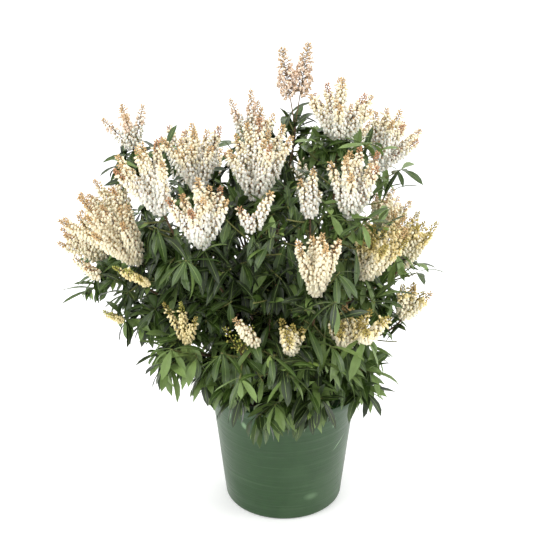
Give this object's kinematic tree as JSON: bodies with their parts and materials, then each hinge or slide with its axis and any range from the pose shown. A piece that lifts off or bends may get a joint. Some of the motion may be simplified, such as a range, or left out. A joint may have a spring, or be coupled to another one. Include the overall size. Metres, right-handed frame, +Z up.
{
  "type": "potted pieris shrub",
  "caption": "Flowering pieris shrub in a round nursery pot: a short trunk forks into boughs that carry whorls of narrow leaves and fans of small bell flowers.",
  "frame": {"origin": "centre of the pot's flat underside", "axes": "+Z up along the pot's axis, -Y towards the plant's front, +X to the right seen from the front"},
  "size_m": [0.7021, 0.7385, 0.9011],
  "materials": {
    "pot": "satin moulded plastic, lightly scuffed",
    "soil": "loose damp potting mix",
    "bark": "fissured grey-brown bark",
    "foliage": "glossy leathery leaves on green and brown shoots",
    "flowers": "waxy cream-white bells with tan and rust calyces"
  },
  "bodies": {
    "root": {"pot": "pot", "soil": "soil", "trunk": "bark", "bough_top": "bark", "bough_upper_left": "bark", "bough_upper_right": "bark", "bough_left": "bark", "bough_right": "bark", "bough_front": "bark", "bough_back": "bark", "bough_back_left": "bark", "bough_back_right": "bark", "bough_front_top": "bark", "bough_back_top": "bark", "bough_front_left": "bark", "bough_front_right": "bark", "bough_far_left": "bark", "bough_left_low": "bark", "bough_right_low": "bark", "bough_front_low": "bark", "bough_front_middle": "bark", "bough_back_low": "bark", "spires_top": "flowers", "spires_top_left": "flowers", "head_front_top": "flowers", "head_front_small": "flowers", "head_upper_left": "flowers", "head_left_upper": "flowers", "head_outer_left": "flowers", "head_front_left": "flowers", "leaves_left_middle": "foliage", "head_left": "flowers", "head_far_left": "flowers", "leaves_far_left": "foliage", "head_front_right": "flowers", "head_right_front": "flowers", "head_upper_right": "flowers", "head_outer_right": "flowers", "head_right": "flowers", "head_far_right": "flowers", "head_right_under": "flowers", "leaves_right_low": "foliage", "head_front": "flowers", "head_front_under": "flowers", "head_centre_low": "flowers", "leaves_front_low": "foliage", "buds_centre": "flowers", "leaves_front_middle": "foliage", "head_left_low": "flowers", "leaves_left_low": "foliage", "head_back_top": "flowers", "head_back_upper_left": "flowers", "head_back_left": "flowers", "head_back_left_low": "flowers", "head_back_centre": "flowers", "head_back": "flowers", "head_back_right": "flowers", "head_back_upper_right": "flowers", "head_back_low": "flowers", "leaves_back_low": "foliage"}
  },
  "joints": []
}
